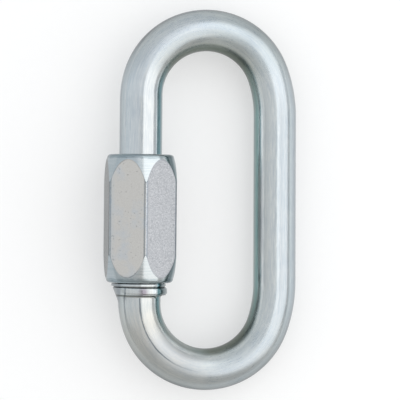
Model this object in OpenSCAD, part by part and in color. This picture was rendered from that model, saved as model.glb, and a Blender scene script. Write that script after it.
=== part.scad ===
// Oval quick link for chain: a bent round bar with a gap in one side, closed by a hexagonal sleeve nut.
// It lies on a flat surface: +Y runs along the screw axis towards the side that the nut opens to,
// +X from the gate side to the plain back, and the surface is at Z = 0.

/* [Bar] */
// Diameter of the round bar
bar_d = 10; // [9:0.5:11]
// Inside length of the eye, from crown to crown
eye_len = 70; // [68:1:90]
// Distance between the axes of the gate side and the plain back at mid-length
arm_spacing = 31.9; // [30:0.1:36]
// Angle at which the plain back leans towards the gate side at the top
back_lean = 0.4; // [0:0.1:1.5]
// Loss of diameter where bending has drawn the bar thinner, at the crowns
crown_thin = 0.24; // [0.08:0.02:0.4]

/* [Bows] */
// Bend radius where a bow runs into the gate side
gate_lead_r = 19; // [16:0.5:24]
// Angle of the bend at the gate side
gate_lead_deg = 11; // [8:1:35]
// Bend radius where a bow runs into the plain back
back_lead_r = 30; // [20:0.5:36]
// Angle of the bend at the plain back
back_lead_deg = 19; // [12:1:40]

/* [Gate] */
// Clear opening between the two bar ends
gate_opening = 11; // [9:0.5:12]
// Length of the threaded stub above the collar
stub_len = 5.5; // [4:0.5:6.5]
// Length of the thread on the upper bar end
arm_thread_len = 9; // [6:0.5:11]
// Length over which the upper bar end swells from the bar to the thread
swell_len = 1.5; // [0.5:0.25:2.5]
// Chamfer on the tips of both bar ends
tip_chamfer = 0.9; // [0.4:0.1:1.5]

/* [Thread] */
// Nominal diameter of the thread over that of the bar, so that the nut can pass along the bar
thread_over_bar = 2; // [1.8:0.1:2.6]
// Pitch of the thread
thread_pitch = 1.5; // [1:0.25:1.75]
// Running clearance of the thread, on the radius
thread_clear = 0.1; // [0.05:0.05:0.2]

/* [Collar] */
// Height of the collar over the bar, on the radius
collar_step = 1.4; // [1.2:0.1:1.8]
// Height of the thin lip that the nut seats on
lip_h = 0.6; // [0.4:0.1:1]
// Width of the crease between the lip and the bead
crease_w = 0.2; // [0.1:0.05:0.3]
// Height of the rounded bead below the crease
bead_h = 1.8; // [1.3:0.1:2.2]
// Rounding of the bead's two edges
bead_round = 0.55; // [0.35:0.05:0.6]
// Height of the flare from the bar up to the bead
flare_h = 0.8; // [0.7:0.1:1.6]
// Straight bar between the flare and the lower bow
collar_foot = 0.5; // [0.1:0.1:2]

/* [Sleeve nut] */
// Width across the flats
nut_af = 16; // [15:0.5:19]
// Length of the nut
nut_len = 30; // [28:0.5:32]
// Depth that the hexagon's edges are turned down, on the radius
edge_turn = 0.12; // [0.05:0.01:0.3]
// Length of the turned taper at each end, measured on the edges
taper_len = 6.5; // [4:0.5:8]
// Angle of that taper to the screw axis, where it leaves the edges
taper_deg = 8; // [6:0.5:10]
// Radius to which the taper is crowned
taper_r = 40; // [30:1:60]
// Rounding where the taper meets the end face
end_round = 0.8; // [0.4:0.1:1.1]
// Depth of the plain relief that lets the nut ride up to the bow
relief_len = 5; // [3:0.5:6]
// Radial play of the relief over the thread
relief_play = 0.1; // [0.05:0.05:0.3]
// Countersink at both mouths of the nut
mouth_chamfer = 0.4; // [0.2:0.1:0.5]
// Gap between the collar and the nut when it is closed
seat_gap = 0.2; // [0.1:0.05:0.3]
// Angle by which the nut's edges stand off the plane across the loop when it is screwed home
nut_turn = 3; // [0:0.5:12]

/* [Hidden] */
$fn = 96;
// Steps of each arc in a turned profile
arc_steps = 8;
// Length by which one stretch of a piece runs on inside the next one
lap = 0.5;
// Length by which a cut runs past the solid
cut_past = 1;
// Height by which the nut's end rounding crosses its taper, so that the two arcs cut each other
end_proud = 0.02;

bar_r = bar_d / 2;
crown_d = bar_d - crown_thin;
lead_d = bar_d - crown_thin / 2;
crown_y = (eye_len + crown_d) / 2;
gate_x = -arm_spacing / 2;

// The thread is drawn as a plain cylinder at its pitch diameter, where bar and nut meet
sharp_thread_height = thread_pitch * sqrt(3) / 2;
thread_d = bar_d + thread_over_bar;
thread_r = thread_d / 2 - 3 / 8 * sharp_thread_height;
relief_r = thread_d / 2 + relief_play;

// A bow is three tangent arcs: a lead at the gate side, a crown, and a lead at the back.
// The crown's radius is the one that makes the bow tangent to both sides and crown_y high.
// lean is positive where the back leans towards the gate side on the way out to the crown.
function crown_r(lean) =
    let (
        back_turn = lean + back_lead_deg,
        across = arm_spacing - gate_lead_r * (1 - cos(gate_lead_deg)) + back_lead_r * cos(back_turn),
        along = crown_y - back_lead_r * sin(back_turn)
    )
    (cos(lean) * across - sin(lean) * along - back_lead_r)
    / (cos(lean) * (cos(back_turn) + cos(gate_lead_deg)) - sin(lean) * (1 - sin(back_turn)));

// Height at which the bow leaves the gate side, and the three arcs' centres
function gate_tangent_y(lean) =
    crown_y - crown_r(lean) - (gate_lead_r - crown_r(lean)) * sin(gate_lead_deg);
function gate_lead_centre(lean) = [gate_x + gate_lead_r, gate_tangent_y(lean)];
function crown_centre(lean) =
    gate_lead_centre(lean) + (gate_lead_r - crown_r(lean)) * [-cos(gate_lead_deg), sin(gate_lead_deg)];
function back_lead_centre(lean) =
    let (back_turn = lean + back_lead_deg)
    crown_centre(lean) - (back_lead_r - crown_r(lean)) * [cos(back_turn), sin(back_turn)];
function back_tangent(lean) = back_lead_centre(lean) + back_lead_r * [cos(lean), sin(lean)];

// Heights along the screw axis
collar_foot_y = -gate_tangent_y(-back_lean);
flare_y = collar_foot_y + collar_foot;
bead_y = flare_y + flare_h;
crease_y = bead_y + bead_h;
lip_y = crease_y + crease_w;
seat_y = lip_y + lip_h;
stub_tip_y = seat_y + stub_len;
arm_tip_y = stub_tip_y + gate_opening;
arm_top_y = gate_tangent_y(back_lean);
nut_y = seat_y + seat_gap;
collar_r = bar_r + collar_step;

// Nut: radius of its turned edges, and half the angle that each edge covers
nut_edge_r = nut_af / 2 / cos(30) - edge_turn;
edge_half_deg = 30 - acos(nut_af / 2 / nut_edge_r);

// Arcs of its turned profile: the crowned taper, and the end rounding that stands a little proud of it
taper_centre = [nut_edge_r - taper_r * cos(taper_deg), taper_len + taper_r * sin(taper_deg)];
round_reach = taper_r - end_round + end_proud;
round_deg = asin((taper_centre[1] - end_round) / round_reach);
round_centre = taper_centre + round_reach * [cos(round_deg), -sin(round_deg)];

// Rest: the nut's lower edge and the plain back touch the surface, which tips the link about +Y
back_reach_x = back_lead_centre(-back_lean)[0] + back_lead_r;
edge_deg = edge_half_deg - nut_turn;
edge_x = gate_x + nut_edge_r * sin(edge_deg);
edge_drop = nut_edge_r * cos(edge_deg);
edge_to_back = back_reach_x - edge_x;
rest_tilt = atan2(edge_drop, edge_to_back) - asin(bar_r / norm([edge_drop, edge_to_back]));
rest_lift = edge_x * sin(rest_tilt) + edge_drop * cos(rest_tilt);
rest_left_x = gate_x * cos(rest_tilt) - nut_edge_r * cos(30 - edge_half_deg - nut_turn - rest_tilt);
rest_right_x = back_reach_x * cos(rest_tilt) + bar_r;
rest_mid_x = (rest_left_x + rest_right_x) / 2;

// Points of an arc, for the turned profiles
function arc(centre, r, from, to) = [
    for (i = [0:arc_steps])
    let (a = from + (to - from) * i / arc_steps)
    centre + r * [cos(a), sin(a)]
];

// Angle that the lap takes up on a bend
function lap_deg(r) = lap / r * 180 / PI;

// Places the link, drawn flat in the XY plane, as it comes to rest
module at_rest() {
    translate([-rest_mid_x, 0, rest_lift])
        rotate([0, rest_tilt, 0])
            children();
}

// Turns a profile of radius and height about the screw axis
module turned() {
    translate([gate_x, 0, 0])
        rotate([-90, 0, 0])
            rotate_extrude()
                children();
}

// One bent stretch of the bar
module bend(centre, r, d, from, to) {
    translate([centre[0], centre[1], 0])
        rotate_extrude(angle = to - from, start = from)
            translate([r, 0])
                circle(d = d);
}

module bow(lean) {
    r = crown_r(lean);
    back_end = lean + back_lead_deg;
    gate_end = 180 - gate_lead_deg;
    bend(back_lead_centre(lean), back_lead_r, lead_d, lean - lap_deg(back_lead_r), back_end);
    bend(crown_centre(lean), r, crown_d, back_end - lap_deg(r), gate_end + lap_deg(r));
    bend(gate_lead_centre(lean), gate_lead_r, lead_d, gate_end, 180 + lap_deg(gate_lead_r));
}

module plain_back() {
    top = back_tangent(back_lean);
    bottom = [back_tangent(-back_lean)[0], -back_tangent(-back_lean)[1]];
    translate([bottom[0], bottom[1], 0])
        rotate([-90, 0, back_lean])
            cylinder(d = bar_d, h = norm(top - bottom));
}

// Lower bar end: bar, flare, bead, crease, lip and threaded stub
module stub_profile() {
    bead_start_deg = 60;
    flare_step = collar_step - bead_round * (1 - cos(bead_start_deg));
    flare_deg = acos(1 - flare_step / flare_h);
    crease_r = collar_r - bead_round;
    polygon(concat(
        [[0, collar_foot_y], [bar_r, collar_foot_y]],
        arc([bar_r + flare_h, flare_y], flare_h, 180, 180 - flare_deg),
        arc([crease_r, bead_y + bead_round], bead_round, -bead_start_deg, 0),
        arc([crease_r, crease_y - bead_round], bead_round, 0, 90),
        [[crease_r, lip_y], [collar_r, lip_y], [collar_r, seat_y], [thread_r, seat_y]],
        [[thread_r, stub_tip_y - tip_chamfer], [thread_r - tip_chamfer, stub_tip_y], [0, stub_tip_y]]
    ));
}

// Upper bar end: threaded tip, swelling and bar
module arm_profile() {
    thread_top_y = arm_tip_y + arm_thread_len;
    polygon([
        [0, arm_tip_y],
        [thread_r - tip_chamfer, arm_tip_y],
        [thread_r, arm_tip_y + tip_chamfer],
        [thread_r, thread_top_y],
        [bar_r, thread_top_y + swell_len],
        [bar_r, arm_top_y],
        [0, arm_top_y]
    ]);
}

// Turned end of the nut: end rounding, crowned taper and the start of the edges
module nut_end_profile() {
    rounding = arc(round_centre, end_round, -90, -round_deg);
    end_len = taper_len + 2 * lap;
    intersection() {
        translate(taper_centre)
            circle(r = taper_r, $fn = 360);
        polygon(concat(
            [[0, 0]],
            rounding,
            [[nut_edge_r, rounding[arc_steps][1]], [nut_edge_r, end_len], [0, end_len]]
        ));
    }
}

// Outside of the nut as it is turned from hexagonal stock
module nut_turned_profile() {
    nut_end_profile();
    translate([0, nut_len])
        mirror([0, 1])
            nut_end_profile();
    translate([0, taper_len + lap])
        square([nut_edge_r, nut_len - 2 * (taper_len + lap)]);
}

// Inside of the nut: thread, plain relief at the top and a countersink at each mouth
module nut_bore_profile() {
    bore_r = thread_r + thread_clear;
    relief_y = nut_len - relief_len;
    polygon([
        [0, -cut_past],
        [bore_r + mouth_chamfer, -cut_past],
        [bore_r + mouth_chamfer, 0],
        [bore_r, mouth_chamfer],
        [bore_r, relief_y - (relief_r - bore_r)],
        [relief_r, relief_y],
        [relief_r, nut_len - mouth_chamfer],
        [relief_r + mouth_chamfer, nut_len],
        [relief_r + mouth_chamfer, nut_len + cut_past],
        [0, nut_len + cut_past]
    ]);
}

module link_bar() {
    color("#c3c9ce")
        at_rest() {
            bow(back_lean);
            mirror([0, 1, 0])
                bow(-back_lean);
            plain_back();
            turned()
                stub_profile();
            turned()
                arm_profile();
        }
}

module sleeve_nut() {
    color("#c9cbcb")
        at_rest()
            translate([0, nut_y, 0])
                difference() {
                    intersection() {
                        translate([gate_x, 0, 0])
                            rotate([-90, 30 + nut_turn, 0])
                                cylinder(r = nut_af / 2 / cos(30), h = nut_len, $fn = 6);
                        turned()
                            nut_turned_profile();
                    }
                    turned()
                        nut_bore_profile();
                }
}

link_bar();
sleeve_nut();
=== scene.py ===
# %% [markdown]
# # A quick link for chain
# A quick link is an oval of round steel bar with a gap in one side. A long six-sided nut screws across
# the gap and closes it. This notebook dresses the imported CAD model: the bar and the nut are drawn again
# as fine surfaces with their threads and forging marks, and then get a zinc finish, a floor, studio light
# and a camera.

import bpy
import numpy as np
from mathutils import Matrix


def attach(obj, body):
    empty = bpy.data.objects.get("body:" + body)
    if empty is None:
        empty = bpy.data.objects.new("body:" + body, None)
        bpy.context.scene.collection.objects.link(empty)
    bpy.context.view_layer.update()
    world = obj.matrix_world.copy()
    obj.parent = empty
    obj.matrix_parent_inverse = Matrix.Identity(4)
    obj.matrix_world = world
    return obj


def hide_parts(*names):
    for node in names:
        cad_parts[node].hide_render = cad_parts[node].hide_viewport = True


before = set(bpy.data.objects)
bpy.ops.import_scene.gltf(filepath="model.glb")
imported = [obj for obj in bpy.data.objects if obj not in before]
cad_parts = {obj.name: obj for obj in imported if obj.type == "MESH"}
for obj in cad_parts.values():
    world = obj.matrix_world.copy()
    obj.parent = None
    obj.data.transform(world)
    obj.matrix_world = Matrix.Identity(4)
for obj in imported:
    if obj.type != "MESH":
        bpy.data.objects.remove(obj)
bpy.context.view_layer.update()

# %% [markdown]
# ## The path of the bar
# The real link starts as a straight length of drawn bar that is bent round formers. A Bezier curve would
# do for a sketch, but arcs give the exact centreline of the CAD model. So the path is a chain of
# stretches, each with a length and a turn: straight stub, lower bow, plain back, upper bow, straight arm.
# A bow is three tangent arcs, and the middle one has the only radius that closes the loop. All sizes are
# in mm until the mesh is made.

# %% Sizes of the loop
BAR_R = 5.0
CROWN_THIN = 0.12
EYE_LEN = 70.0
ARM_SPACING = 31.9
BACK_LEAN = np.radians(0.4)
GATE_LEAD_R, GATE_LEAD = 19.0, np.radians(11)
BACK_LEAD_R, BACK_LEAD = 30.0, np.radians(19)
GATE_X = -ARM_SPACING / 2
CROWN_Y = EYE_LEN / 2 + BAR_R - CROWN_THIN
print(f"eye {EYE_LEN:.0f} mm long, axes of the sides {ARM_SPACING} mm apart")


# %% Radii that close the loop
def bow(lean):
    """Crown radius of a bow, the height at which it leaves the gate side, the x that its back arc reaches
    to, and the point where it meets the back. The three arcs turn by known angles, so closing the loop is
    one linear equation for the crown's radius."""
    turn = lean + BACK_LEAD
    across = ARM_SPACING - GATE_LEAD_R * (1 - np.cos(GATE_LEAD)) + BACK_LEAD_R * np.cos(turn)
    along = CROWN_Y - BACK_LEAD_R * np.sin(turn)
    crown = np.cos(lean) * across - np.sin(lean) * along - BACK_LEAD_R
    crown /= np.cos(lean) * (np.cos(turn) + np.cos(GATE_LEAD)) - np.sin(lean) * (1 - np.sin(turn))
    gate_y = CROWN_Y - crown - (GATE_LEAD_R - crown) * np.sin(GATE_LEAD)
    centre = np.array([GATE_X + GATE_LEAD_R, gate_y])
    centre += (GATE_LEAD_R - crown) * np.array([-np.cos(GATE_LEAD), np.sin(GATE_LEAD)])
    centre -= (BACK_LEAD_R - crown) * np.array([np.cos(turn), np.sin(turn)])
    meets_back = centre + BACK_LEAD_R * np.array([np.cos(lean), np.sin(lean)])
    return crown, gate_y, centre[0] + BACK_LEAD_R, meets_back


top_crown, top_gate_y, _, top_back = bow(BACK_LEAN)
low_crown, low_gate_y, back_reach, low_back = bow(-BACK_LEAN)
print(f"crown radii {top_crown:.2f} and {low_crown:.2f} mm")

# %% Heights on the gate side
LIP_H, CREASE_W, BEAD_H, FLARE_H, COLLAR_FOOT = 0.6, 0.2, 1.8, 0.8, 0.5
STUB_LEN, GATE_OPENING = 5.5, 11.0
SEAT_Y = -low_gate_y + COLLAR_FOOT + FLARE_H + BEAD_H + CREASE_W + LIP_H
STUB_TIP_Y = SEAT_Y + STUB_LEN
ARM_TIP_Y = STUB_TIP_Y + GATE_OPENING
print(f"collar's seat at {SEAT_Y:.2f}, gate from {STUB_TIP_Y:.2f} to {ARM_TIP_Y:.2f} mm")

# %% The chain of stretches
# Names of the nine stretches, in their order along the bar
STUB, LOW_GATE, LOW_CROWN, LOW_BACK, BACK, TOP_BACK, TOP_CROWN, TOP_GATE, ARM = range(9)
low_turn = np.pi - GATE_LEAD - (BACK_LEAD - BACK_LEAN)
top_turn = np.pi - GATE_LEAD - (BACK_LEAD + BACK_LEAN)
turns = np.array([0, GATE_LEAD, low_turn, BACK_LEAD, 0, BACK_LEAD, top_turn, GATE_LEAD, 0])
radii = np.array([0, GATE_LEAD_R, low_crown, BACK_LEAD_R, 0, BACK_LEAD_R, top_crown, GATE_LEAD_R, 0])
lengths = turns * radii
lengths[STUB] = STUB_TIP_Y + low_gate_y
lengths[BACK] = np.linalg.norm(top_back - low_back * [1, -1])
lengths[ARM] = top_gate_y - ARM_TIP_Y
starts = np.concatenate([[0], np.cumsum(lengths)])
headings = -np.pi / 2 + np.concatenate([[0], np.cumsum(turns)])
BAR_LEN = starts[-1]
print(f"{len(lengths)} stretches, bar {BAR_LEN:.1f} mm long")


# %% Places on the path
def chord(length, turn, heading):
    """Step from one end of an arc to the other: it points along the mean heading and is the arc's length
    times the sine of half the turn over half the turn."""
    reach = length * np.sinc(turn / 2 / np.pi)
    return np.stack([reach * np.cos(heading + turn / 2), reach * np.sin(heading + turn / 2)], -1)


corners = np.cumsum(np.vstack([[GATE_X, STUB_TIP_Y], chord(lengths, turns, headings[:-1])]), axis=0)


def centreline(station):
    """Place and heading at a distance along the bar: the start of its stretch plus the chord of the part
    passed."""
    k = np.clip(np.searchsorted(starts, station, side="right") - 1, 0, len(lengths) - 1)
    passed = station - starts[k]
    turned = turns[k] * passed / lengths[k]
    return corners[k] + chord(passed, turned, headings[k]), headings[k] + turned


miss = np.linalg.norm(corners[-1] - [GATE_X, ARM_TIP_Y])
print(f"path closes to {miss:.4f} mm")

# %% [markdown]
# ## Lying on the floor
# The nut is thicker than the bar, so the link lies with one edge of the nut and the plain back on the
# floor, a few degrees off level. The objects could be turned as a whole, but then they would not sit at
# the origin, as the CAD solids do. So the pieces are worked out flat, and one turn about Y and one shift
# of their points lay them down in the place of the solids.

# %% Lay the link down
# The nut's edges are turned down a little, and stand 3 degrees off the loop's plane
NUT_AF, EDGE_TURN = 16.0, 0.12
NUT_TURN = np.radians(3)
SIDE = np.pi / 3
HALF_SIDE = SIDE / 2
FLAT_R = NUT_AF / 2
NUT_EDGE_R = FLAT_R / np.cos(HALF_SIDE) - EDGE_TURN
edge_half = HALF_SIDE - np.arccos(FLAT_R / NUT_EDGE_R)
edge_x = GATE_X + NUT_EDGE_R * np.sin(edge_half - NUT_TURN)
edge_drop = NUT_EDGE_R * np.cos(edge_half - NUT_TURN)
span = back_reach - edge_x
tilt = np.arctan2(edge_drop, span) - np.arcsin(BAR_R / np.hypot(edge_drop, span))
lift = edge_x * np.sin(tilt) + edge_drop * np.cos(tilt)
left = GATE_X * np.cos(tilt) - NUT_EDGE_R * np.cos(HALF_SIDE - edge_half - NUT_TURN - tilt)
middle = (left + back_reach * np.cos(tilt) + BAR_R) / 2


def lay_down(points):
    """Points turned about Y by the tilt, lifted to the floor, centred and changed from mm to metres."""
    x, y, z = np.moveaxis(points, -1, 0)
    laid = [x * np.cos(tilt) + z * np.sin(tilt) - middle, y, z * np.cos(tilt) - x * np.sin(tilt) + lift]
    return np.stack(laid, -1) / 1000


print(f"tilt {np.degrees(tilt):.2f} degrees, lift {lift:.2f} mm")

# %% [markdown]
# ## From rings to a mesh
# Both pieces are stacks of rings with the same number of points. Blender's Screw modifier can stack rings
# too, but not along a bent path. Here neighbouring rings are joined by four-sided faces. The bar's stack
# is closed by a fan at each end, and the nut's stack bites its own tail, because its surface runs over
# the outside and back through the bore. Either way the mesh has no open seam.

# %% Join the rings
SHARP_EDGE = np.radians(40)


def into_scene(item):
    """Puts an object into the scene and hands it back."""
    bpy.context.scene.collection.objects.link(item)
    return item


def ring_mesh(name, rings, looped):
    """Closed mesh from an array (ring, point, xyz) in metres. Face (i, j) joins points j and j + 1 of
    ring i with those of ring i + 1, and the points wrap round."""
    count, around = rings.shape[:2]
    grid = np.arange(count * around).reshape(count, around)
    stack = np.vstack([grid, grid[:1]]) if looped else grid
    here, there = stack[:-1], stack[1:]
    quads = np.stack([here, np.roll(here, -1, 1), np.roll(there, -1, 1), there], -1).reshape(-1, 4)
    points, faces = rings.reshape(-1, 3), quads.tolist()
    if not looped:
        points = np.vstack([points, rings[0].mean(0), rings[-1].mean(0)])
        first, last = count * around, count * around + 1
        faces += np.stack([np.roll(grid[0], -1), grid[0], np.full(around, first)], -1).tolist()
        faces += np.stack([grid[-1], np.roll(grid[-1], -1), np.full(around, last)], -1).tolist()
    mesh = bpy.data.meshes.new(name)
    mesh.from_pydata(points.tolist(), [], faces)
    mesh.shade_smooth()
    mesh.set_sharp_from_angle(angle=SHARP_EDGE)
    return into_scene(bpy.data.objects.new(name, mesh))


print(f"edges over {np.degrees(SHARP_EDGE):.0f} degrees stay sharp")

# %% [markdown]
# ## The screw thread
# Both bar ends and the nut carry the same 12 mm thread of 1.5 mm pitch. The CAD model draws it as plain
# cylinders. A bump texture would show it, but not in the outline of an open gate. Here the thread is a
# height that depends on the distance along the screw and on the angle round it, so it is a true helix.
# The same formula gives bar and nut, which stay in mesh however far the nut moves in whole turns.

# %% Thread height
PITCH, THREAD_CORE, THREAD_DEPTH = 1.5, 5.08, 0.87
GROOVE_SHARE, FLANK_SHARE = 0.25, 0.625


def thread_height(y, angle):
    """0 in the groove and 1 on the ridge: a triangle wave of y / pitch plus the turn, cut off flat over a
    quarter of its run below and an eighth above, as on a metric thread."""
    wave = np.abs(2 * ((y / PITCH + angle / (2 * np.pi)) % 1) - 1)
    return np.clip((wave - GROOVE_SHARE) / FLANK_SHARE, 0, 1)


print(f"thread from {THREAD_CORE} to {THREAD_CORE + THREAD_DEPTH} mm radius")

# %% [markdown]
# ## The bent bar
# On the real link this is one piece of bar: tip, thread, collar, bar, swelling, thread, tip. A curve with
# a round bevel would give the plain bar, but its ends would have to be added as other objects, with
# seams. So one surface carries all of it: the first parameter is the distance along the path and the
# second is the angle round it, from the inner side of the loop. The radius is a list of stations.

# %% Stations of the collar
COLLAR_R, CREASE_R, BEAD_R = 6.4, 5.85, 0.55
BEAD_ROWS, FLARE_ROWS = 8, 12
SEAT = STUB_LEN
BEAD_START = SEAT + LIP_H + CREASE_W
FLARE_END = BEAD_START + BEAD_H + FLARE_H
# The lip has small roundings, and the crease follows it
lip_at = np.array([0, 0, 0, 0.03, 0.1, 0.3, 0.5, 0.57, 0.6, 0.6, 0.63, 0.7, 0.77])
lip_radius = np.array([6.05, 6.2, 6.3, 6.37, 6.4, 6.4, 6.4, 6.37, 6.3, 6.12, 6.05, 6.02, 6.0])
bead_top = np.radians(np.linspace(90, 0, BEAD_ROWS))
bead_foot = np.radians(np.linspace(0, -60, BEAD_ROWS))
flare_start = np.pi - np.arccos(1 - (COLLAR_R - BAR_R - BEAD_R / 2) / FLARE_H)
flare_angle = np.linspace(flare_start, np.pi, FLARE_ROWS)
collar_station = np.concatenate([
    SEAT + lip_at,
    BEAD_START + BEAD_R * (1 - np.sin(bead_top)),
    BEAD_START + BEAD_H - BEAD_R * (1 + np.sin(bead_foot)),
    FLARE_END - FLARE_H * np.sin(flare_angle),
])
collar_radius = np.concatenate([
    lip_radius,
    CREASE_R + BEAD_R * np.cos(bead_top),
    CREASE_R + BEAD_R * np.cos(bead_foot),
    BAR_R + FLARE_H + FLARE_H * np.cos(flare_angle),
])
print(f"{len(collar_station)} rings on the collar, which ends {FLARE_END:.1f} mm from the tip")

# %% Rings of the bar
ARM_THREAD_LEN, SWELL_LEN = 9.0, 1.5
STUB_ROWS, BAR_ROWS, ARM_ROWS, BAR_AROUND = 62, 360, 117, 128
PAST_FLARE, PAST_SWELL = 0.15, 0.09
tip_face = np.array([1.5, 3.2, 4.3])
swell = BAR_LEN - ARM_THREAD_LEN - SWELL_LEN
station = np.concatenate([
    0 * tip_face,
    np.linspace(0, SEAT, STUB_ROWS),
    collar_station,
    np.linspace(FLARE_END + PAST_FLARE, swell, BAR_ROWS),
    np.linspace(swell + PAST_SWELL, BAR_LEN, ARM_ROWS),
    BAR_LEN + 0 * tip_face,
])
collar_start = len(tip_face) + STUB_ROWS
collar_rows = slice(collar_start, collar_start + len(collar_station))
print(f"{len(station)} rings along the bar, {BAR_AROUND} points in each")

# %% Radius along the bar
# Bending stretches the bar thinner: by three quarters of the full amount at both ends of a crown, and by
# all of it in the middle
LEAD_SHARE = 0.75
crown_starts, crown_ends = [LOW_CROWN, TOP_CROWN], [LOW_BACK, TOP_GATE]
thick = np.full(len(starts), BAR_R)
thick[crown_starts + crown_ends] -= LEAD_SHARE * CROWN_THIN
crown_tops = (starts[crown_starts] + starts[crown_ends]) / 2
thin_at = np.concatenate([starts, crown_tops])
thin_to = np.concatenate([thick, np.full(len(crown_tops), BAR_R - CROWN_THIN)])
order = np.argsort(thin_at)
radius = np.interp(station, thin_at[order], thin_to[order])
radius[collar_rows] = collar_radius
radius[:len(tip_face)] = tip_face
radius[-len(tip_face):] = tip_face[::-1]
print(f"radius {radius[collar_rows].max():.2f} mm on the collar, {BAR_R - CROWN_THIN:.2f} mm on the crowns")

# %% Thread and its run-out
TIP_R = 4.6
around = np.arange(BAR_AROUND) * 2 * np.pi / BAR_AROUND
along, angle = np.meshgrid(station, around, indexing="ij")
row = np.arange(len(station))[:, None]
on_face = (row < len(tip_face)) | (row >= len(station) - len(tip_face))
on_stub = row < collar_rows.start
on_arm = along > swell
screw_y = np.where(on_arm, ARM_TIP_Y + BAR_LEN - along, STUB_TIP_Y - along)
thread = THREAD_CORE + THREAD_DEPTH * thread_height(screw_y, angle)
tip_cone = TIP_R + np.minimum(along, BAR_LEN - along)
swell_cone = BAR_R + (along - swell) / SWELL_LEN * (THREAD_CORE + THREAD_DEPTH - BAR_R)
threaded = np.minimum(np.minimum(thread, tip_cone), np.where(on_arm, swell_cone, np.inf))
reach = np.where((on_stub | on_arm) & ~on_face, threaded, radius[:, None])
print(f"thread runs out over {SWELL_LEN} mm")

# %% [markdown]
# ## The uneven collar
# The collar is upset hot in a die, which leaves a thin lip, a crease and a bead. The die closes a little
# off the bar's axis, so the bead is thicker towards the inside of the loop, and the lip towards the
# outside. Sculpting by hand would give this too. Here a share of the cosine of the angle is added to the
# radius, so a few numbers say how uneven it is. An even collar would look turned and too new.

# %% Bead, lip and slope
BEAD_LEAN, LIP_LEAN = 0.15, 0.22
LIP_FOOT_R, LIP_RISE = 6.05, 0.25
SLOPE_LATE, SLOPE_PAST = 0.3, 0.8
inner = np.cos(angle)
bead_share = np.clip((along - BEAD_START) / BEAD_H, 0, 1)
bead_hump = np.clip(2 * bead_share, 0, 1) * np.clip((FLARE_END - along) / FLARE_H, 0, 1)
reach = reach + BEAD_LEAN * inner * bead_hump
lip_share = np.zeros_like(station)
lip_share[collar_rows] = np.clip((collar_radius - LIP_FOOT_R) / LIP_RISE, 0, 1)
lip_share *= station <= SEAT + LIP_H
reach = reach - LIP_LEAN * inner * lip_share[:, None]
# On the outer side the bead and the flare are drawn out to one slope
slope_start, slope_end = BEAD_START + SLOPE_LATE, FLARE_END + SLOPE_PAST
slope_share = np.clip((along - slope_start) / (slope_end - slope_start), 0, 1)
slope = COLLAR_R - BEAD_LEAN - slope_share * (COLLAR_R - BEAD_LEAN - BAR_R)
on_slope = (along > slope_start) & (along < slope_end)
outer_share = np.clip(-inner, 0, 1) ** 2
reach = np.where(on_slope, reach + outer_share * (slope - reach), reach)
print(f"bead leans in by {BEAD_LEAN} mm, lip leans out by {LIP_LEAN} mm")

# %% Carry the rings along the path
place, heading = centreline(along)
side, up = reach * inner, reach * np.sin(angle)
bar_points = np.stack([
    place[..., 0] - side * np.sin(heading),
    place[..., 1] + side * np.cos(heading),
    up,
], -1)
bar_piece = ring_mesh("bent_bar", lay_down(bar_points), looped=False)
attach(bar_piece, "link")
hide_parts("link_bar")
print(f"bent bar: {len(bar_piece.data.vertices)} points, {len(bar_piece.data.polygons)} faces")

# %% [markdown]
# ## What the bar's material has to know
# The finish of the bar, and the shade painted on it, change along its bends. Object coordinates can't
# follow a bend, and a UV map only holds two numbers. So the mesh keeps attributes: each point's place on
# the straightened bar, and how far the point belongs to a bow, to the shaded inner side of a bow, and to
# the plain back.

# %% Stored values of the bar
def point_values(piece, name, values):
    """Keeps one number or one vector for each point of the mesh, for its material to read. The middles of
    end fans, which come last, get that of a point on the nearest ring."""
    kind, field, width = ("FLOAT_VECTOR", "vector", 3) if values.ndim == 3 else ("FLOAT", "value", 1)
    flat = values.reshape(-1, width)
    if len(piece.data.vertices) > len(flat):
        flat = np.vstack([flat, flat[:1], flat[-1:]])
    layer = piece.data.attributes.new(name, kind, "POINT")
    layer.data.foreach_set(field, flat.astype(np.float32).ravel())


# Marks are distances along the bar, between which the values run evenly
bow_marks = starts[LOW_GATE:ARM + 1] + np.array([3, 17, -6, 0, 0, 6, -8, -3])
shade_marks = np.concatenate([[14, 28, 36], bow_marks[2:]])
back_marks = starts[[LOW_CROWN, BACK, TOP_BACK, TOP_GATE]]
point_values(bar_piece, "along_bar", np.stack([along, side, up], -1) / 1000)
for name, marks, shares in (
    ("bend", bow_marks, [0, 1, 1, 0, 0, 1, 1, 0]),
    ("shaded", shade_marks, [0, 0.35, 1, 1, 0, 0, 1, 1, 0]),
    ("on_back", back_marks, [0, 1, 1, 0]),
):
    point_values(bar_piece, name, np.interp(along, marks, shares))
print("bows, in mm along the bar:", np.round(bow_marks[:4]), "and", np.round(bow_marks[4:]))

# %% [markdown]
# ## The sleeve nut
# The nut is cut from hexagonal bar and turned down at both ends to a crowned taper. Where the round taper
# runs out on a flat, the border is a long arc. A boolean would give that arc as a ragged row of
# triangles. So each column of points finds the height of the border for its own angle, and the rows are
# shared out between the end, the border and the middle: the arc is then an edge of the grid, and stays
# crisp.

# %% Section of the nut
SIDES, PER_SIDE, CROWDING = 6, 40, 2.2
CORNER_R = 0.78
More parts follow.
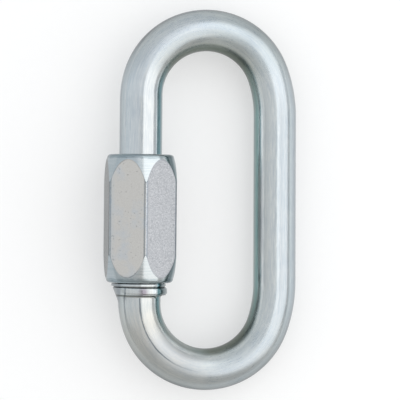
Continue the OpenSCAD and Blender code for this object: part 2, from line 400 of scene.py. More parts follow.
# Columns crowd together near the six edges, where the section bends
step = (np.arange(PER_SIDE) + 0.5) / PER_SIDE * 2 - 1
from_edge = np.sign(step) * np.abs(step) ** CROWDING * HALF_SIDE
nut_angle = (HALF_SIDE - NUT_TURN + np.arange(SIDES)[:, None] * SIDE + from_edge).ravel()
off_edge = np.tile(np.abs(from_edge), SIDES)
corner = (FLAT_R - CORNER_R) / np.cos(HALF_SIDE)
corner_end = HALF_SIDE - np.arctan((FLAT_R - CORNER_R) * np.tan(HALF_SIDE) / FLAT_R)
rounding = np.sqrt(np.maximum(CORNER_R ** 2 - (corner * np.sin(off_edge)) ** 2, 0))
rounded = corner * np.cos(off_edge) + rounding
hexagon = np.where(off_edge < corner_end, rounded, FLAT_R / np.cos(HALF_SIDE - off_edge))
print(f"{len(nut_angle)} columns, radius {hexagon.min():.2f} to {hexagon.max():.2f} mm")

# %% Border of the taper
NUT_LEN, END_ROUND = 30.0, 0.8
TAPER_LEN, TAPER, TAPER_R = 6.5, np.radians(8), 40.0
taper_x = NUT_EDGE_R - TAPER_R * np.cos(TAPER)
taper_y = TAPER_LEN + TAPER_R * np.sin(TAPER)
border = taper_y - np.sqrt(TAPER_R ** 2 - (hexagon - taper_x) ** 2)
round_at = np.arcsin((taper_y - END_ROUND) / (TAPER_R - END_ROUND))
round_x = taper_x + (TAPER_R - END_ROUND) * np.cos(round_at)
print(f"border of the taper {border.min():.2f} to {border.max():.2f} mm from the end")


# %% Outside of the nut
def smaller(a, b, blend):
    """The smaller of two heights, with the corner between them rounded over the blend."""
    share = np.clip(0.5 + 0.5 * (b - a) / blend, 0, 1)
    return b + (a - b) * share - blend * share * (1 - share)


ROUND_ROWS, TAPER_ROWS, FLAT_ROWS = 8, 16, 40
BORDER_BLEND, BORE_MOUTH, RING_GAP = 0.03, 6.01, 0.02
turn_angle = np.linspace(-np.pi / 2, -round_at, ROUND_ROWS)
round_r, round_y = round_x + END_ROUND * np.cos(turn_angle), END_ROUND * (1 + np.sin(turn_angle))
face_r = np.array([BORE_MOUTH + RING_GAP, 6.3, 6.6, 6.9])
end_r = np.concatenate([face_r, round_r])[:, None] + 0 * border
end_y = np.concatenate([0 * face_r, round_y])[:, None] + 0 * border
share = 1 - (1 - np.linspace(0, 1, TAPER_ROWS)[1:, None]) ** 2
taper_rows = round_y[-1] + share * (border - round_y[-1])
taper_rows_r = taper_x + np.sqrt(TAPER_R ** 2 - (taper_y - taper_rows) ** 2)
taper_rows_r = smaller(taper_rows_r, hexagon, BORDER_BLEND)
half_y, half_r = np.vstack([end_y, taper_rows]), np.vstack([end_r, taper_rows_r])
ease = (1 - np.cos(np.pi * np.linspace(0, 1, FLAT_ROWS)[1:-1, None])) / 2
flat_y = border + ease * (NUT_LEN - 2 * border)
to_end = np.minimum(flat_y, NUT_LEN - flat_y)
turned_r = taper_x + np.sqrt(TAPER_R ** 2 - np.maximum(taper_y - to_end, 0) ** 2)
flat_r = smaller(turned_r, hexagon, BORDER_BLEND)
outer_y = np.vstack([half_y, flat_y, NUT_LEN - half_y[::-1]])
outer_r = np.vstack([half_r, flat_r, half_r[::-1]])
print(f"{len(outer_y)} rows over the outside, {len(half_y)} at each end")

# %% [markdown]
# ## The bore of the nut
# A tap cuts the thread from the lower end, and a plain relief at the upper end lets the nut ride past the
# arm's swelling. Cutting the bore with a boolean would spoil the even grid of the outside. So the rows
# simply run on, from the upper mouth down to the lower one, and the largest of thread, relief and mouth
# gives the radius.

# %% Bore of the nut
RELIEF_R, RELIEF_Y, RELIEF_MIDDLE, MOUTH, MOUTH_GAP = 6.1, 25.0, 28.0, 0.4, 0.03
THREAD_PLAY, BORE_ROWS, SEAT_GAP = 0.11, 206, 0.2
NUT_Y = SEAT_Y + SEAT_GAP
bore_down = np.concatenate([
    [NUT_LEN - MOUTH_GAP, NUT_LEN - MOUTH, RELIEF_MIDDLE, RELIEF_Y + RING_GAP],
    np.linspace(RELIEF_Y, RING_GAP, BORE_ROWS),
])
bore_y = bore_down[:, None] + 0 * border
bore_thread = THREAD_CORE + THREAD_PLAY + THREAD_DEPTH * thread_height(bore_y + NUT_Y, nut_angle)
relief = np.minimum(RELIEF_R, RELIEF_R - (RELIEF_Y - bore_y))
mouths = np.maximum(BORE_MOUTH - bore_y, RELIEF_R + MOUTH - (NUT_LEN - bore_y))
bore_r = np.maximum(np.maximum(bore_thread, relief), mouths)
bore_r = np.where(bore_y > RELIEF_Y, np.maximum(RELIEF_R, mouths), bore_r)
# The relief is wider than the lower mouth, so the rings of the upper face make room for it
upper_face = slice(-len(face_r), None)
face_least = RELIEF_R + MOUTH + MOUTH_GAP * np.arange(len(face_r))[::-1, None]
outer_r[upper_face] = np.maximum(outer_r[upper_face], face_least)
print(f"bore of {len(bore_y)} rows, radius {bore_r.min():.2f} to {bore_r.max():.2f} mm")

# %% Mesh of the nut
nut_y, nut_r = np.vstack([outer_y, bore_y]), np.vstack([outer_r, bore_r])
nut_points = np.stack([
    GATE_X + nut_r * np.cos(nut_angle),
    NUT_Y + nut_y,
    nut_r * np.sin(nut_angle),
], -1)
nut_piece = ring_mesh("sleeve_nut_turned", lay_down(nut_points), looped=True)
# The nut's rings run the other way round than the bar's, so its faces are turned over to look outwards
nut_piece.data.flip_normals()
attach(nut_piece, "nut")
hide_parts("sleeve_nut")
print(f"nut: {len(nut_piece.data.vertices)} points, {len(nut_piece.data.polygons)} faces")

# %% [markdown]
# ## What the nut's materials have to know
# The turned ends and the flats are two finishes, so each face is given the first or the second material
# by its row. Painted shade follows the edges. The Geometry node's Pointiness could find them, but its
# answer changes with how fine the mesh is. So each point keeps its distances from the nearest edge, border
# and end, and the skin and painted shade of its flat.

# %% Stored values of the nut
# The bore counts as far from any edge, border or end
FAR = 9.0
row = np.arange(len(nut_y))
on_flat = (row >= len(half_y) - 1) & (row < len(half_y) + len(flat_y))
nut_piece.data.polygons.foreach_set("material_index", np.repeat(on_flat.astype(np.int32), len(border)))
outside = (row < len(outer_y))[:, None]
from_end = np.minimum(nut_y, NUT_LEN - nut_y)
edge_run = np.where(outside, nut_r * np.sin(off_edge), FAR)
border_run = np.where(outside, np.abs(from_end - border), FAR)
end_run = np.where(outside, from_end, FAR)
faces_loop = np.cos(nut_angle - tilt)
# Six flats, counted round from the one that faces the loop: how grainy each is, and how much painted
# shade it gets, most on the outer flat, which is seen nearly edge-on
flat_number = np.round((nut_angle + NUT_TURN) / SIDE).astype(int) % SIDES
coarse_flat = np.array([0.8, 1.0, 0.15, 0.4, 0.9, 0.4])[flat_number]
painted_flat_shade = np.array([0.3, 0.0, 0.0, 0.95, 0.4, 0.2])[flat_number]
for name, first, second in (
    ("flat_place", edge_run / 1000, border_run / 1000),
    ("flat_skin_and_shade", coarse_flat, painted_flat_shade),
    ("turned_place", faces_loop, end_run / 1000),
):
    point_values(nut_piece, name, np.stack([first + 0 * nut_y, second + 0 * nut_y, 0 * nut_y], -1))
print(f"{int(on_flat.sum())} rows of flats")

# %% [markdown]
# ## Colour and nodes
# Colours are written as the eye reads them, in sRGB hex, and Blender works in linear light. One function
# turns one into the other. Nodes could be placed by hand in the shader editor, but a script can be read
# and repeated. So another function adds a shader node with its settings and its links, and each material
# below reads as a short list. Sizes of patterns are given in mm.

# %% From hex to linear light
def linear(code):
    """sRGB hex to linear: a straight part near black, and a power of 2.4 above it."""
    srgb = np.array([int(code[i:i + 2], 16) for i in (1, 3, 5)]) / 255
    value = np.where(srgb <= 0.04045, srgb / 12.92, ((srgb + 0.055) / 1.055) ** 2.4)
    return (*value.tolist(), 1.0)


print("mid grey in linear light:", round(linear("#808080")[0], 3))

# %% Nodes and materials
MM = 0.001
COLOUR = {"data_type": "RGBA"}
TINT = {"data_type": "RGBA", "blend_type": "MULTIPLY"}


def add(tree, kind, inputs=None, stops=None, take=None, **settings):
    """Adds one shader node and returns its output. inputs gives each socket a value or another node's
    output, stops gives the colours of a ramp by place, from 0 to 1, and settings are the node's own
    properties. take names the output that is meant where it isn't the first one in use."""
    node = tree.nodes.new("ShaderNode" + kind)
    for name, value in settings.items():
        setattr(node, name, value)
    for socket, value in (inputs or {}).items():
        if isinstance(value, bpy.types.NodeSocket):
            tree.links.new(value, node.inputs[socket])
        else:
            node.inputs[socket].default_value = value
    if stops:
        for at in list(stops)[1:-1]:
            node.color_ramp.elements.new(at)
        for stop, code in zip(node.color_ramp.elements, stops.values()):
            stop.color = linear(code)
    return node.outputs[take] if take else next(out for out in node.outputs if out.enabled)


def new_material(piece, name):
    """Gives a piece one more material, and returns its node tree and its shader."""
    material = bpy.data.materials.new(name)
    material.use_nodes = True
    piece.data.materials.append(material)
    return material.node_tree, material.node_tree.nodes["Principled BSDF"]


def finish_metal(tree, shader, colour, roughness, height, depth):
    """Links a metal's colour and roughness to its shader, and a height, which is a depth in metres where
    it is 1, as a bump."""
    bump = add(tree, "Bump", {"Height": height, "Distance": depth, "Strength": 1.0})
    for name, value in (("Base Color", colour), ("Roughness", roughness), ("Normal", bump)):
        tree.links.new(value, shader.inputs[name])
    shader.inputs["Metallic"].default_value = 1.0


print("colours are mixed by", COLOUR, "and tinted by", TINT)

# %% [markdown]
# ## Zinc on drawn bar
# The bar is drawn through a die and then bright zinc plated. Drawing leaves fine lines along the bar, and
# plating leaves a pale, slightly blue metal. Shade and reflection are painted across the bar as well: dark
# outer rims, pale bands, a dark teal line of painted reflection on the inner side of the straights and the
# back, and a broad olive painted shade on the inner side of the bows. A painted image would have to be
# unwrapped, so they are ramps that read the stored place on the straightened bar, from its outer side, at
# 0, over the top, at 0.5, to its inner side, at 1.

# %% Draw lines
tree, shader = new_material(bar_piece, "bright_zinc_on_drawn_steel_bar")
spot = add(tree, "Attribute", take="Vector", attribute_name="along_bar")
bend = add(tree, "Attribute", take="Fac", attribute_name="bend")
shaded = add(tree, "Attribute", take="Fac", attribute_name="shaded")
on_back = add(tree, "Attribute", take="Fac", attribute_name="on_back")
parts = add(tree, "SeparateXYZ", {"Vector": spot}).node.outputs
lengthwise, sideways = parts["X"], parts["Y"]
# Draw lines are about 0.05 mm apart, too fine to show, so they are drawn 0.3 mm wide and 4 mm long
LINE_LEN, LINE_WIDTH = 4 * MM, 0.3 * MM
per_line = (1 / LINE_LEN, 1 / LINE_WIDTH, 1 / LINE_WIDTH)
lines_at = add(tree, "VectorMath", {0: spot, 1: per_line}, operation="MULTIPLY")
lines = add(tree, "TexNoise", {"Vector": lines_at, "Scale": 1.0, "Detail": 3.0, "Roughness": 0.65})
# The borders of the shades wander with the lines
WANDER = 0.3 * MM
wander = add(tree, "MapRange", {"Value": lines, "To Min": -WANDER, "To Max": WANDER})
strayed = add(tree, "Math", {0: sideways, 1: wander}, operation="ADD")
across = add(tree, "MapRange", {"Value": strayed, "From Min": -BAR_R * MM, "From Max": BAR_R * MM})
print(f"draw lines {LINE_WIDTH / MM:.1f} mm wide")

# %% Shade across the bar
# Painted shade and reflection: dark outer rims, pale bands, a teal line or olive shade on the inner side
straight_painted_light = add(tree, "ValToRGB", {"Fac": across}, stops={
    0.0: "#989fa5", 0.045: "#b9c1c5", 0.11: "#c6cdd1", 0.39: "#cdd2d6", 0.46: "#c3c8cb", 0.54: "#c8cbcc",
    0.73: "#c9cccd", 0.775: "#cdd2d5", 0.81: "#c4cbcf", 0.835: "#eaf0f4", 0.862: "#dcebf2", 0.885: "#94b7c0",
    0.905: "#6a929a", 0.925: "#7c9ca3", 0.94: "#8aa1a7", 0.97: "#98a5a9", 1.0: "#949ea2"})
bow_painted_light = add(tree, "ValToRGB", {"Fac": across}, stops={
    0.0: "#5d6265", 0.03: "#777d80", 0.08: "#a8aeb0", 0.15: "#bbc1c3", 0.25: "#c5cacc", 0.42: "#c9cfd4",
    0.75: "#cbd0d1", 0.8: "#d8dcdb", 0.83: "#d0d5d2", 0.875: "#a2a8a3", 0.92: "#7b827a", 0.96: "#747b73",
    1.0: "#646b64"})
back_painted_light = add(tree, "ValToRGB", {"Fac": across}, stops={
    0.0: "#949ca2", 0.05: "#a5adb3", 0.11: "#bcc4ca", 0.2: "#d1dbdf", 0.25: "#b9bfc3", 0.36: "#b9bfc3",
    0.436: "#b3b8bc", 0.51: "#c8ced1", 0.66: "#ccd0d1", 0.73: "#c4c8c8", 0.8: "#b9bdbd", 0.835: "#d4d8d8",
    0.87: "#f2f5f5", 0.913: "#cedad8", 0.94: "#98b5b4", 0.955: "#83a3a2", 0.984: "#8ea2a1", 1.0: "#8a9c9b"})
sides = add(tree, "Mix", {"Factor": on_back, "A": straight_painted_light, "B": back_painted_light}, **COLOUR)
inner_half = add(tree, "MapRange", {"Value": across, "From Min": 0.35, "From Max": 0.6})
in_bow = add(tree, "Mix", {"Factor": inner_half, "A": bend, "B": shaded}, data_type="FLOAT")
shade = add(tree, "Mix", {"Factor": in_bow, "A": sides, "B": bow_painted_light}, **COLOUR)
print("three shades across the bar: gate side, bows and back")

# %% Shade along the bar
# The zinc is warmer by the collar, and shade is painted on parts of both bows, to dim their highlight
run = add(tree, "MapRange", {"Value": lengthwise, "From Max": BAR_LEN * MM})
warmth_and_painted_shade = add(tree, "ValToRGB", {"Fac": run}, stops={
    0.0: "#ffffff", 0.055: "#fffdf9", 0.085: "#fcf5ec", 0.125: "#f9f5ef", 0.175: "#f5f4f2", 0.22: "#eeefef",
    0.27: "#f1f2f2", 0.34: "#ffffff", 0.6: "#ffffff", 0.63: "#f0f2f1", 0.665: "#e4e6e5", 0.7: "#f1f3f2",
    0.74: "#ffffff", 1.0: "#ffffff"})
shade = add(tree, "Mix", {"Factor": 1.0, "A": shade, "B": warmth_and_painted_shade}, **TINT)
print(f"shade along {BAR_LEN:.0f} mm of bar")

# %% [markdown]
# ## Painted shade on the rubbed bends
# The bar is bent cold round a former, which rubs the inner flank of the bends next to the gate side. The
# last one gets a little more painted shade there. The first was pressed harder, so it shines less, and its
# flank is painted an even grey, with a pale stripe of painted reflection. A mask could be painted by hand
# on the mesh. Here a black and white ramp along the bar says where a bend is, and a second ramp across
# the bar gives the painted shade.

# %% Last bend and first bend
last_bend = add(tree, "ValToRGB", {"Fac": run}, stops={
    0.0: "#000000", 0.7: "#000000", 0.745: "#ffffff", 0.8: "#ffffff", 0.825: "#000000", 1.0: "#000000"})
# Painted shade on the inner flank of the last bend
painted_dark = add(tree, "ValToRGB", {"Fac": across}, stops={
    0.0: "#ffffff", 0.5: "#ffffff", 0.55: "#eeefef", 0.65: "#e8e9e9", 0.75: "#d8d9d9", 0.82: "#e0e1e1",
    0.87: "#f3f4f4", 0.9: "#ffffff", 1.0: "#ffffff"})
shade = add(tree, "Mix", {"Factor": last_bend, "A": shade, "B": painted_dark}, **TINT)
first_bend = add(tree, "ValToRGB", {"Fac": run}, stops={
    0.0: "#000000", 0.075: "#000000", 0.115: "#ffffff", 0.15: "#ffffff", 0.19: "#000000", 1.0: "#000000"})
# Painted shade on the first bend's inner flank: an even grey with a pale stripe of painted reflection
first_bend_painted_light = add(tree, "ValToRGB", {"Fac": across}, stops={
    0.0: "#bfc0c0", 0.565: "#bfc0c0", 0.642: "#bdbebe", 0.72: "#aeafaf", 0.797: "#aeb0af", 0.851: "#ecedeb",
    0.905: "#a7aba8", 0.95: "#a9aeab", 1.0: "#8f9692"})
first_bend_paint_share = add(tree, "Math", {0: first_bend, 1: inner_half}, operation="MULTIPLY")
shade = add(tree, "Mix", {"Factor": first_bend_paint_share, "A": shade, "B": first_bend_painted_light}, **COLOUR)
print("two bends rubbed on their inner flank")

# %% [markdown]
# ## Streaks, clouds and grain
# Up close the plated bar is uneven: its draw lines catch the light, the plating has faint clouds, and the
# bends have a fine grain. One noise could stand for all three, but each has a size and a direction of its
# own. So three noises are added up, and the sum drives the tint, the gloss and the bump alike.

# %% Streaks, clouds and grain
# Clouds of the plating are about 4 mm across, and bending opens the skin to a grain of 0.25 by 0.6 mm
CLOUD, GRAIN_LEN, GRAIN_WIDTH = 4 * MM, 0.6 * MM, 0.25 * MM
CLOUD_SHARE, GRAIN_SHARE = 0.5, 0.5
per_grain = (1 / GRAIN_LEN, 1 / GRAIN_WIDTH, 1 / GRAIN_WIDTH)
clouds = add(tree, "TexNoise", {"Vector": spot, "Scale": 1 / CLOUD, "Detail": 4.0, "Roughness": 0.55})
grain_at = add(tree, "VectorMath", {0: spot, 1: per_grain}, operation="MULTIPLY")
grain = add(tree, "TexNoise", {"Vector": grain_at, "Scale": 1.0, "Detail": 1.0})
grain_swing = add(tree, "Math", {0: grain, 1: 0.5}, operation="SUBTRACT")
opened = add(tree, "Math", {0: grain_swing, 1: bend}, operation="MULTIPLY")
mixed = add(tree, "Math", {0: clouds, 1: CLOUD_SHARE, 2: lines}, operation="MULTIPLY_ADD")
mixed = add(tree, "Math", {0: opened, 1: GRAIN_SHARE, 2: mixed}, operation="MULTIPLY_ADD")
tone = add(tree, "MapRange", {"Value": mixed, "From Min": 0.5, "From Max": 1.0})
veil = add(tree, "ValToRGB", {"Fac": tone}, stops={0.0: "#e3e7eb", 1.0: "#fefdfb"})
zinc = add(tree, "Mix", {"Factor": 1.0, "A": shade, "B": veil}, **TINT)
print("streaks follow the bar, grain follows the bends")

# %% [markdown]
# ## Marks by the collar
# To upset the collar, a jaw grips the hot bar. It leaves two scored lines that run into the lower bow,
# and the heat leaves a purple bloom on the bead. Shade is painted into the folds of the collar. Scratches
# are often taken from an image. These are so few that each is a distance from a line, a station or a
# point, faded out with Map Range, and they stay sharp at any zoom.

# %% Scored lines
BAR_WIDTH = 2 * BAR_R * MM
SCORE_CORE, SCORE_REACH, SCORE_FADE, SCORE_SHARE = 0.06 * MM, 0.24 * MM, 12 * MM, 0.8
# Distance off the bar's axis, and where the line starts and ends along the bar
SCORES = ((-0.35 * MM, 8.8 * MM, 34 * MM), (-3.8 * MM, 6.3 * MM, 19 * MM))
for off_axis, run_in, run_out in SCORES:
    off = add(tree, "Math", {0: across, 1: 0.5 + off_axis / BAR_WIDTH}, operation="SUBTRACT")
    off = add(tree, "Math", {0: off}, operation="ABSOLUTE")
    deep = add(tree, "MapRange", {
        "Value": off, "From Min": SCORE_CORE / BAR_WIDTH, "From Max": SCORE_REACH / BAR_WIDTH,
        "To Min": SCORE_SHARE, "To Max": 0.0})
    fade = add(tree, "MapRange", {
        "Value": lengthwise, "From Min": run_out - SCORE_FADE, "From Max": run_out,
        "To Min": 1.0, "To Max": 0.0})
    begun = add(tree, "Math", {0: lengthwise, 1: run_in}, operation="GREATER_THAN")
    share = add(tree, "Math", {0: deep, 1: fade}, operation="MULTIPLY")
    share = add(tree, "Math", {0: share, 1: begun}, operation="MULTIPLY")
    zinc = add(tree, "Mix", {"Factor": share, "A": zinc, "B": linear("#535f68")}, **COLOUR)
print(f"{len(SCORES)} scored lines")

# %% Painted shade in the folds and a bloom on the bead
# Painted shade darkens the crease and the foot of the bead, 1.2 and 3.3 mm along a run of 5 mm
collar_run = add(tree, "MapRange", {"Value": lengthwise, "From Min": 5 * MM, "From Max": 10 * MM})
painted_folds = add(tree, "ValToRGB", {"Fac": collar_run}, stops={
    0.0: "#ffffff", 0.21: "#ffffff", 0.245: "#9a9d99", 0.29: "#ffffff", 0.59: "#ffffff", 0.655: "#80837b",
    0.74: "#ffffff", 1.0: "#ffffff"})
zinc = add(tree, "Mix", {"Factor": 1.0, "A": zinc, "B": painted_folds}, **TINT)
# The bloom is about 2 mm wide
BLOOM_AT = (7.3 * MM, 0.4 * MM, 6.4 * MM)
BLOOM_CORE, BLOOM_REACH, BLOOM_SHARE = 0.4 * MM, 1.4 * MM, 0.8
bloom_off = add(tree, "VectorMath", {0: spot, 1: BLOOM_AT}, operation="DISTANCE")
bloom = add(tree, "MapRange", {
    "Value": bloom_off, "From Min": BLOOM_CORE, "From Max": BLOOM_REACH,
    "To Min": BLOOM_SHARE, "To Max": 0.0})
zinc = add(tree, "Mix", {"Factor": bloom, "A": zinc, "B": linear("#7f7580")}, **COLOUR)
# Two folds of painted shade and one bloom
print("dirt in two folds and one bloom")

# %% Gloss of the bar
# The straights mirror sharply at a roughness of about 0.14, the opened skin of the bows is satin at about
# 0.27, and the pressed bend is duller still
shine = add(tree, "MapRange", {
    "Value": mixed, "From Min": 0.45, "From Max": 1.05, "To Min": 0.09, "To Max": 0.2})
for where, rougher in ((bend, 0.13), (on_back, 0.05), (first_bend, 0.14)):
    shine = add(tree, "Math", {0: where, 1: rougher, 2: shine}, operation="MULTIPLY_ADD")
# Ridges of a few thousandths of a millimetre are enough to make a reflection waver
RIDGE = 0.008 * MM
finish_metal(tree, shader, zinc, shine, mixed, RIDGE)
print("bar material:", len(tree.nodes), "nodes")

# %% [markdown]
# ## Zinc on the nut's turned ends
# The ends of the nut are turned on a lathe, so they carry rings about the screw axis and shine. A Wave
# texture gives rings too, but they come out as even as a record's. The axis runs along Y, so here the
# rings are noise that is stretched across X and Z, in plain Object coordinates, and no two are alike.

# %% Rings of the lathe
tree, shader = new_material(nut_piece, "bright_zinc_on_turned_steel")
spot = add(tree, "TexCoord", take="Object")
# Tool marks are 0.1 mm apart on the lathe, drawn here 0.25 mm apart so that they show
RING_LEN, RING_WIDTH = 6 * MM, 0.25 * MM
per_ring = (1 / RING_LEN, 1 / RING_WIDTH, 1 / RING_LEN)
rings_at = add(tree, "VectorMath", {0: spot, 1: per_ring}, operation="MULTIPLY")
rings = add(tree, "TexNoise", {"Vector": rings_at, "Scale": 1.0, "Detail": 2.0, "Roughness": 0.6})
tone = add(tree, "MapRange", {"Value": rings, "From Min": 0.3, "From Max": 0.7})
veil = add(tree, "ValToRGB", {"Fac": tone}, stops={0.0: "#e9eef0", 1.0: "#ffffff"})
print(f"tool marks {RING_WIDTH / MM:.2f} mm apart")

# %% Painted shade round the nut and at its rims
turned_place = add(tree, "Attribute", take="Vector", attribute_name="turned_place")
parts = add(tree, "SeparateXYZ", {"Vector": turned_place}).node.outputs
# Painted shade and reflection round the nut, from its outer side, at 0, over the top, to the side that
# faces the loop, at 1, where a dark line of painted reflection runs
around_nut = add(tree, "MapRange", {"Value": parts["X"], "From Min": -1.0})
round_painted_shade = add(tree, "ValToRGB", {"Fac": around_nut}, stops={
    0.0: "#969c9e", 0.04: "#aeb6bb", 0.28: "#b2bbbf", 0.46: "#bdc3c7", 0.55: "#c2c6c7", 0.88: "#c6cacb",
    0.925: "#96a2a6", 0.953: "#68797e", 0.975: "#8d9b9f", 1.0: "#98a3a6"})
# The rounding at the very end, 0.8 mm wide, is painted darker as shade, with two deeper tool marks.
# Handling knocked the marks uneven: they wander by up to 0.2 mm over stretches of 1.5 mm
KNOCK_LEN, KNOCK, RIM_RUN = 1.5 * MM, 0.2 * MM, 1.2 * MM
knocks = add(tree, "TexNoise", {"Vector": spot, "Scale": 1 / KNOCK_LEN, "Detail": 2.0})
uneven = add(tree, "MapRange", {
    "Value": knocks, "From Min": 0.3, "From Max": 0.7, "To Min": -KNOCK, "To Max": KNOCK})
from_rim = add(tree, "Math", {0: parts["Y"], 1: uneven}, operation="ADD")
rim = add(tree, "MapRange", {"Value": from_rim, "From Max": RIM_RUN})
rim_painted_shade_and_marks = add(tree, "ValToRGB", {"Fac": rim}, stops={
    0.0: "#c4cbcd", 0.36: "#d2d8da", 0.43: "#b4bdc0", 0.5: "#d8dee0", 0.66: "#e6eaec", 0.73: "#c6ced1",
    0.8: "#f2f4f5", 1.0: "#ffffff"})
zinc = add(tree, "Mix", {"Factor": 1.0, "A": round_painted_shade, "B": rim_painted_shade_and_marks}, **TINT)
zinc = add(tree, "Mix", {"Factor": 1.0, "A": zinc, "B": veil}, **TINT)
print(f"rims shaded over {RIM_RUN / MM:.1f} mm")

# %% Gloss of the turned ends
TOOL_MARK = 0.004 * MM
shine = add(tree, "MapRange", {"Value": rings, "To Min": 0.1, "To Max": 0.24})
finish_metal(tree, shader, zinc, shine, rings, TOOL_MARK)
print("turned material:", len(tree.nodes), "nodes")

# %% [markdown]
# ## Zinc on the nut's flats
# The flats keep the skin of the rolled bar. Each went through its own pair of rolls, so one is smooth and
# warm and the next is grainy and cool. Six materials would do it, but they would say nearly the same
# thing. So one material holds both skins and mixes them by the values that are stored for each flat.

# %% Smooth and grainy skin
tree, shader = new_material(nut_piece, "bright_zinc_on_rolled_hexagon")
spot = add(tree, "TexCoord", take="Object")
flat_skin_and_shade = add(tree, "Attribute", take="Vector", attribute_name="flat_skin_and_shade")
parts = add(tree, "SeparateXYZ", {"Vector": flat_skin_and_shade}).node.outputs
coarse, shade_painted = parts["X"], parts["Y"]
# Rolled skin has grains of about 0.2 mm, drawn at 0.26 mm so that they show, and clouds of 5 mm
FLAT_GRAIN, FLAT_CLOUD = 0.26 * MM, 5 * MM
grain = add(tree, "TexNoise", {"Vector": spot, "Scale": 1 / FLAT_GRAIN, "Detail": 2.0, "Roughness": 0.7})
clouds = add(tree, "TexNoise", {"Vector": spot, "Scale": 1 / FLAT_CLOUD, "Detail": 3.0, "Roughness": 0.5})
cloudy = add(tree, "MapRange", {"Value": clouds, "From Min": 0.3, "From Max": 0.5})
sparkle = add(tree, "MapRange", {"Value": grain, "From Min": 0.35, "From Max": 0.69})
warm = add(tree, "Mix", {"Factor": cloudy, "A": linear("#bcc2c8"), "B": linear("#c8c5c0")}, **COLOUR)
cool = add(tree, "Mix", {"Factor": sparkle, "A": linear("#a2a5ab"), "B": linear("#d6d7da")}, **COLOUR)
zinc = add(tree, "Mix", {"Factor": coarse, "A": warm, "B": cool}, **COLOUR)
print(f"grains of {FLAT_GRAIN / MM:.2f} mm")

# %% Bluer margin, painted shade on the flats, and pits
# The outermost 2 mm of the nut are tinted bluer
OUTERMOST, MARGIN_END, MARGIN_SHARE = -21.5 * MM, -19.6 * MM, 0.55
parts = add(tree, "SeparateXYZ", {"Vector": spot}).node.outputs
margin = add(tree, "MapRange", {
    "Value": parts["X"], "From Min": OUTERMOST, "From Max": MARGIN_END,
    "To Min": MARGIN_SHARE, "To Max": 0.0})
# Pits of 0.2 mm are the lowest spots of a noise of 0.6 mm, a few mm apart
PIT_NOISE, PIT_SHARE = 0.6 * MM, 0.35
pit_noise = add(tree, "TexNoise", {"Vector": spot, "Scale": 1 / PIT_NOISE, "Detail": 0.0})
pits = add(tree, "MapRange", {
    "Value": pit_noise, "From Min": 0.18, "From Max": 0.25, "To Min": PIT_SHARE, "To Max": 0.0})
# Mixed in turn: the bluer margin, painted shade on the flats, and pits
for where, code in ((margin, "#b3bfc8"), (shade_painted, "#6c6f70"), (pits, "#7d7f80")):
    zinc = add(tree, "Mix", {"Factor": where, "A": zinc, "B": linear(code)}, **COLOUR)
print("margin, dull flats and pits mixed in")

# %% Painted shade beside the edges, and darker borders
# Each edge keeps a pale line of 0.2 mm with painted shade beside it, and the border is darker
RAGGED, BORDER_RUN, EDGE_RUN = 0.25 * MM, 0.6 * MM, 0.8 * MM
flat_place = add(tree, "Attribute", take="Vector", attribute_name="flat_place")
parts = add(tree, "SeparateXYZ", {"Vector": flat_place}).node.outputs
ragged = add(tree, "MapRange", {"Value": grain, "To Min": RAGGED, "To Max": -RAGGED})
off_edge_line = add(tree, "Math", {0: parts["X"], 1: ragged}, operation="ADD")
edge_place = add(tree, "MapRange", {"Value": off_edge_line, "From Max": EDGE_RUN})
edge_painted_shade = add(tree, "ValToRGB", {"Fac": edge_place}, stops={
    0.0: "#eef1f3", 0.16: "#e6eaec", 0.3: "#bcc3c9", 0.4: "#bcc3c9", 0.54: "#dde1e4", 0.75: "#ffffff",
    1.0: "#ffffff"})
zinc = add(tree, "Mix", {"Factor": 1.0, "A": zinc, "B": edge_painted_shade}, **TINT)
off_border = add(tree, "Math", {0: parts["Y"], 1: ragged}, operation="ADD")
border_place = add(tree, "MapRange", {"Value": off_border, "From Max": BORDER_RUN})
border_darkening = add(tree, "ValToRGB", {"Fac": border_place}, stops={
    0.0: "#a3abb1", 0.22: "#b9c0c5", 0.5: "#eef0f1", 1.0: "#ffffff"})
# The border is darker in some places than in others
border_dark_share = add(tree, "MapRange", {
    "Value": clouds, "From Min": 0.4, "From Max": 0.6, "To Min": 1.0, "To Max": 0.3})
zinc = add(tree, "Mix", {"Factor": border_dark_share, "A": zinc, "B": border_darkening}, **TINT)
print(f"edges worn over {EDGE_RUN / MM:.1f} mm, borders dirty over {BORDER_RUN / MM:.1f} mm")

# %% Gloss of the flats
SKIN_DEPTH, SKIN_CLOUD = 0.03 * MM, 0.3
speckle = add(tree, "Math", {0: grain, 1: coarse}, operation="MULTIPLY")
mixed = add(tree, "Math", {0: clouds, 1: SKIN_CLOUD, 2: speckle}, operation="MULTIPLY_ADD")
shine = add(tree, "MapRange", {
    "Value": mixed, "From Min": 0.1, "From Max": 0.9, "To Min": 0.22, "To Max": 0.38})
finish_metal(tree, shader, zinc, shine, speckle, SKIN_DEPTH)
print("flats material:", len(tree.nodes), "nodes")

# %% [markdown]
# ## Floor
# The link lies on plain white board. A sheet that only glows would be white but hold no shadow, and a
# diffuse one alone would come out grey. So a diffuse sheet is mixed with a little white for rays from the
# camera and for rays that bounce off the metal: the ground reads as white and still holds a soft shadow.

# %% White floor
FLOOR_HALF = 2
CORNERS = ((-1, -1), (1, -1), (1, 1), (-1, 1))
board = bpy.data.meshes.new("floor")
board.from_pydata([(x * FLOOR_HALF, y * FLOOR_HALF, 0) for x, y in CORNERS], [], [(0, 1, 2, 3)])
floor = into_scene(bpy.data.objects.new("floor", board))
print(f"floor {2 * FLOOR_HALF} m square at height 0")

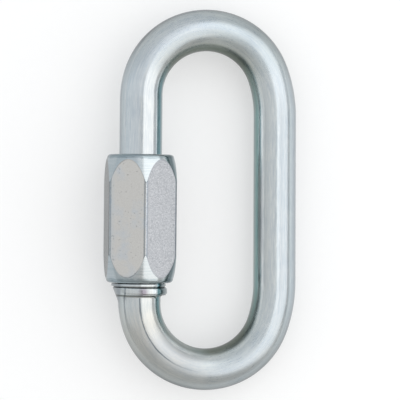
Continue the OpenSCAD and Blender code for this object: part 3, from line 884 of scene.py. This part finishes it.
# %% Matt white board
tree, shader = new_material(floor, "matt_white_board")
FIBRE, GLOW_SHARE = 2 * MM, 0.4
spot = add(tree, "TexCoord", take="Object")
fibre = add(tree, "TexNoise", {"Vector": spot, "Scale": 1 / FIBRE, "Detail": 3.0})
white = add(tree, "Mix", {"Factor": fibre, "A": linear("#f6f6f6"), "B": linear("#f9f9f9")}, **COLOUR)
tree.links.new(white, shader.inputs["Base Color"])
shader.inputs["Roughness"].default_value = 0.9
shader.inputs["Specular IOR Level"].default_value = 0.1
rays = add(tree, "LightPath").node.outputs
seen = rays["Is Camera Ray"]
for kind in ("Is Glossy Ray", "Is Transmission Ray"):
    seen = add(tree, "Math", {0: seen, 1: rays[kind]}, operation="MAXIMUM")
share = add(tree, "Math", {0: seen, 1: GLOW_SHARE}, operation="MULTIPLY")
glow = add(tree, "Emission", {"Color": linear("#ffffff"), "Strength": 1.0})
mix = add(tree, "MixShader", {0: share, 1: shader.outputs[0], 2: glow})
tree.links.new(mix, tree.nodes["Material Output"].inputs["Surface"])
print("board material:", len(tree.nodes), "nodes")

# %% [markdown]
# ## Light
# Metal shows its surroundings, so the light is chosen by what each side of the bar should mirror. A
# photographed studio would bring in shapes that don't belong here. So the room is a plain grey, lighter
# and cooler towards the far side. A large softbox hangs over the right and gives the broad bright band on
# every bar, two small panels overhead carry that band round the bows, and a dim panel on the left lifts
# the gate side.

# %% Room
# Both colours are in linear light
ROOM_NEAR, ROOM_FAR = (0.68, 0.67, 0.65, 1), (0.86, 0.89, 0.915, 1)
TO_FAR_SIDE = (-0.2, 0.98, 0.0)
world = bpy.data.worlds.new("studio_room")
bpy.context.scene.world = world
world.use_nodes = True
tree = world.node_tree
ray = add(tree, "TexCoord", take="Generated")
lean = add(tree, "VectorMath", {0: ray, 1: TO_FAR_SIDE}, operation="DOT_PRODUCT")
share = add(
    tree, "MapRange", {"Value": lean, "From Min": -0.7, "From Max": 0.5}, interpolation_type="SMOOTHSTEP")
room = add(tree, "Mix", {"Factor": share, "A": ROOM_NEAR, "B": ROOM_FAR}, **COLOUR)
tree.links.new(room, tree.nodes["Background"].inputs["Color"])
print("room from", ROOM_NEAR[:3], "to", ROOM_FAR[:3])

# %% Softboxes
LAMP_DISTANCE = 0.7


def softbox(name, x_deg, y_deg, radiance):
    """Area lamp seen from the object between two angles from the zenith across and along. It stands
    square to its middle at the lamp distance, and its power is pi times its area times the radiance."""
    (x_low, x_high), (y_low, y_high) = np.radians(x_deg), np.radians(y_deg)
    lamp = bpy.data.lights.new(name, "AREA")
    lamp.shape = "RECTANGLE"
    lamp.size = 2 * LAMP_DISTANCE * np.tan((x_high - x_low) / 2)
    lamp.size_y = 2 * LAMP_DISTANCE * np.tan((y_high - y_low) / 2)
    lamp.energy = np.pi * lamp.size * lamp.size_y * radiance
    holder = into_scene(bpy.data.objects.new(name, lamp))
    holder.rotation_euler = (-(y_low + y_high) / 2, (x_low + x_high) / 2, 0)
    holder.location = LAMP_DISTANCE * holder.rotation_euler.to_matrix().col[2]
    return f"{name}: {lamp.size:.2f} x {lamp.size_y:.2f} m, {lamp.energy:.2f} W"


for box in (
    ("softbox_right", (12, 73), (-38, 47), 0.95),
    ("panel_left", (-88, 8), (-24, 24), 0.1),
    ("panel_far", (-9, 12), (6, 41), 0.22),
    ("panel_near", (-8, 13), (-25, -6), 0.2),
):
    print(softbox(*box))

# %% [markdown]
# ## Camera
# The link is seen from straight above. An orthographic camera would be close, but a real lens shows a
# little more of the sides. So the camera stands half a metre away with a long lens. It is rolled by half
# a degree, so that the plain back stands nearly upright in the frame, which is square and a little under
# 95 mm wide at the height of the bar.

# %% Camera from above
FRAME_WIDTH, DISTANCE, BAR_HEIGHT, SENSOR = 93.83 * MM, 0.5, 9 * MM, 36.0
AIM, ROLL = -0.05 * MM, np.radians(0.57)
camera = into_scene(bpy.data.objects.new("camera", bpy.data.cameras.new("camera")))
camera.data.sensor_width = SENSOR
camera.data.lens = SENSOR * DISTANCE / FRAME_WIDTH
camera.location = (AIM, AIM, BAR_HEIGHT + DISTANCE)
camera.rotation_euler = (0, 0, ROLL)
bpy.context.scene.camera = camera
bpy.context.scene.view_settings.view_transform = "Standard"
print(f"lens {camera.data.lens:.0f} mm at {DISTANCE} m")
